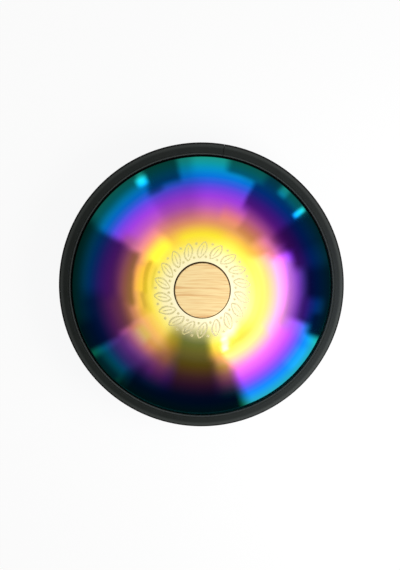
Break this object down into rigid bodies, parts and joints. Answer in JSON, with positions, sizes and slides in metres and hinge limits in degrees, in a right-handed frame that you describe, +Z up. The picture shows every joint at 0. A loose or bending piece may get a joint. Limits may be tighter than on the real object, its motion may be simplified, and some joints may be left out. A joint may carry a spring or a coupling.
{
  "type": "steel tongue drum",
  "caption": "Round two-shell steel tongue drum with mirror rainbow finish, rubber rim, wooden sound-port plug and tuned tongues on its underside.",
  "frame": {"origin": "middle of the flat crown of the tongue side, on which the drum lies", "axes": "+Z up along the drum's axis, out of the sound port on the plain side; -Y towards the two longest tongues"},
  "size_m": [0.355, 0.355, 0.102],
  "materials": {
    "rainbow_steel": "mirror-polished sheet with an interference coating in rings from gold to violet and teal",
    "rim_rubber": "satin charcoal",
    "grommet_rubber": "matte black",
    "pale_wood": "sanded, clear oil",
    "magnet_nickel": "nickel plate",
    "epoxy": "cured film"
  },
  "bodies": {
    "drum": {"back_shell": "rainbow_steel", "tongue_shell": "rainbow_steel", "flange_bond": "epoxy", "rim_channel": "rim_rubber", "port_grommet": "grommet_rubber"},
    "plug": {"wooden_plug": "pale_wood"},
    "tongue_01": {"tongue_01": "rainbow_steel", "tuning_magnet_01": "magnet_nickel"},
    "tongue_02": {"tongue_02": "rainbow_steel", "tuning_magnet_02": "magnet_nickel"},
    "tongue_03": {"tongue_03": "rainbow_steel", "tuning_magnet_03": "magnet_nickel"},
    "tongue_04": {"tongue_04": "rainbow_steel", "tuning_magnet_04": "magnet_nickel"},
    "tongue_05": {"tongue_05": "rainbow_steel", "tuning_magnet_05": "magnet_nickel"},
    "tongue_06": {"tongue_06": "rainbow_steel", "tuning_magnet_06": "magnet_nickel"},
    "tongue_07": {"tongue_07": "rainbow_steel", "tuning_magnet_07": "magnet_nickel"},
    "tongue_08": {"tongue_08": "rainbow_steel", "tuning_magnet_08": "magnet_nickel"},
    "tongue_09": {"tongue_09": "rainbow_steel", "tuning_magnet_09": "magnet_nickel"},
    "tongue_10": {"tongue_10": "rainbow_steel", "tuning_magnet_10": "magnet_nickel"},
    "tongue_11": {"tongue_11": "rainbow_steel", "tuning_magnet_11": "magnet_nickel"},
    "tongue_12": {"tongue_12": "rainbow_steel", "tuning_magnet_12": "magnet_nickel"},
    "tongue_13": {"tongue_13": "rainbow_steel", "tuning_magnet_13": "magnet_nickel"},
    "tongue_14": {"tongue_14": "rainbow_steel", "tuning_magnet_14": "magnet_nickel"},
    "tongue_15": {"tongue_15": "rainbow_steel", "tuning_magnet_15": "magnet_nickel"}
  },
  "joints": [
    {"name": "plug_lift", "type": "slide", "parent": "drum", "child": "plug", "axis": [0, 0, 1], "range_m": [0, 0.08]},
    {"name": "tongue_flex_01", "type": "hinge", "parent": "drum", "child": "tongue_01", "pos_m": [0.05743, -0.13864, 0.03767], "axis": [0.9239, 0.3827, 0], "range_deg": [-0.4, 0.4], "stiffness_Nm_per_rad": 149.9},
    {"name": "tongue_flex_02", "type": "hinge", "parent": "drum", "child": "tongue_02", "pos_m": [-0.05743, -0.13864, 0.03767], "axis": [0.9239, -0.3827, 0], "range_deg": [-0.4, 0.4], "stiffness_Nm_per_rad": 159.6},
    {"name": "tongue_flex_03", "type": "hinge", "parent": "drum", "child": "tongue_03", "pos_m": [0.13864, -0.05743, 0.03767], "axis": [0.3827, 0.9239, 0], "range_deg": [-0.4, 0.4], "stiffness_Nm_per_rad": 169.9},
    {"name": "tongue_flex_04", "type": "hinge", "parent": "drum", "child": "tongue_04", "pos_m": [-0.13864, -0.05743, 0.03767], "axis": [0.3827, -0.9239, 0], "range_deg": [-0.4, 0.4], "stiffness_Nm_per_rad": 175.3},
    {"name": "tongue_flex_05", "type": "hinge", "parent": "drum", "child": "tongue_05", "pos_m": [0.13864, 0.05743, 0.03767], "axis": [-0.3827, 0.9239, 0], "range_deg": [-0.4, 0.4], "stiffness_Nm_per_rad": 186.6},
    {"name": "tongue_flex_06", "type": "hinge", "parent": "drum", "child": "tongue_06", "pos_m": [-0.13864, 0.05743, 0.03767], "axis": [-0.3827, -0.9239, 0], "range_deg": [-0.4, 0.4], "stiffness_Nm_per_rad": 198.7},
    {"name": "tongue_flex_07", "type": "hinge", "parent": "drum", "child": "tongue_07", "pos_m": [0.05743, 0.13864, 0.03767], "axis": [-0.9239, 0.3827, 0], "range_deg": [-0.4, 0.4], "stiffness_Nm_per_rad": 205},
    {"name": "tongue_flex_08", "type": "hinge", "parent": "drum", "child": "tongue_08", "pos_m": [-0.05743, 0.13864, 0.03767], "axis": [-0.9239, -0.3827, 0], "range_deg": [-0.4, 0.4], "stiffness_Nm_per_rad": 218.2},
    {"name": "tongue_flex_09", "type": "hinge", "parent": "drum", "child": "tongue_09", "pos_m": [0.10611, -0.10611, 0.03767], "axis": [0.7071, 0.7071, 0], "range_deg": [-0.4, 0.4], "stiffness_Nm_per_rad": 138.2},
    {"name": "tongue_flex_10", "type": "hinge", "parent": "drum", "child": "tongue_10", "pos_m": [-0.10611, -0.10611, 0.03767], "axis": [0.7071, -0.7071, 0], "range_deg": [-0.4, 0.4], "stiffness_Nm_per_rad": 147.1},
    {"name": "tongue_flex_11", "type": "hinge", "parent": "drum", "child": "tongue_11", "pos_m": [0.15007, 0, 0.03767], "axis": [0, 1, 0], "range_deg": [-0.4, 0.4], "stiffness_Nm_per_rad": 151.8},
    {"name": "tongue_flex_12", "type": "hinge", "parent": "drum", "child": "tongue_12", "pos_m": [-0.15007, 0, 0.03767], "axis": [0, -1, 0], "range_deg": [-0.4, 0.4], "stiffness_Nm_per_rad": 161.5},
    {"name": "tongue_flex_13", "type": "hinge", "parent": "drum", "child": "tongue_13", "pos_m": [0.10611, 0.10611, 0.03767], "axis": [-0.7071, 0.7071, 0], "range_deg": [-0.4, 0.4], "stiffness_Nm_per_rad": 171.8},
    {"name": "tongue_flex_14", "type": "hinge", "parent": "drum", "child": "tongue_14", "pos_m": [-0.10611, 0.10611, 0.03767], "axis": [-0.7071, -0.7071, 0], "range_deg": [-0.4, 0.4], "stiffness_Nm_per_rad": 177.2},
    {"name": "tongue_flex_15", "type": "hinge", "parent": "drum", "child": "tongue_15", "pos_m": [0, 0.15007, 0.03767], "axis": [-1, 0, 0], "range_deg": [-0.4, 0.4], "stiffness_Nm_per_rad": 188.5}
  ]
}
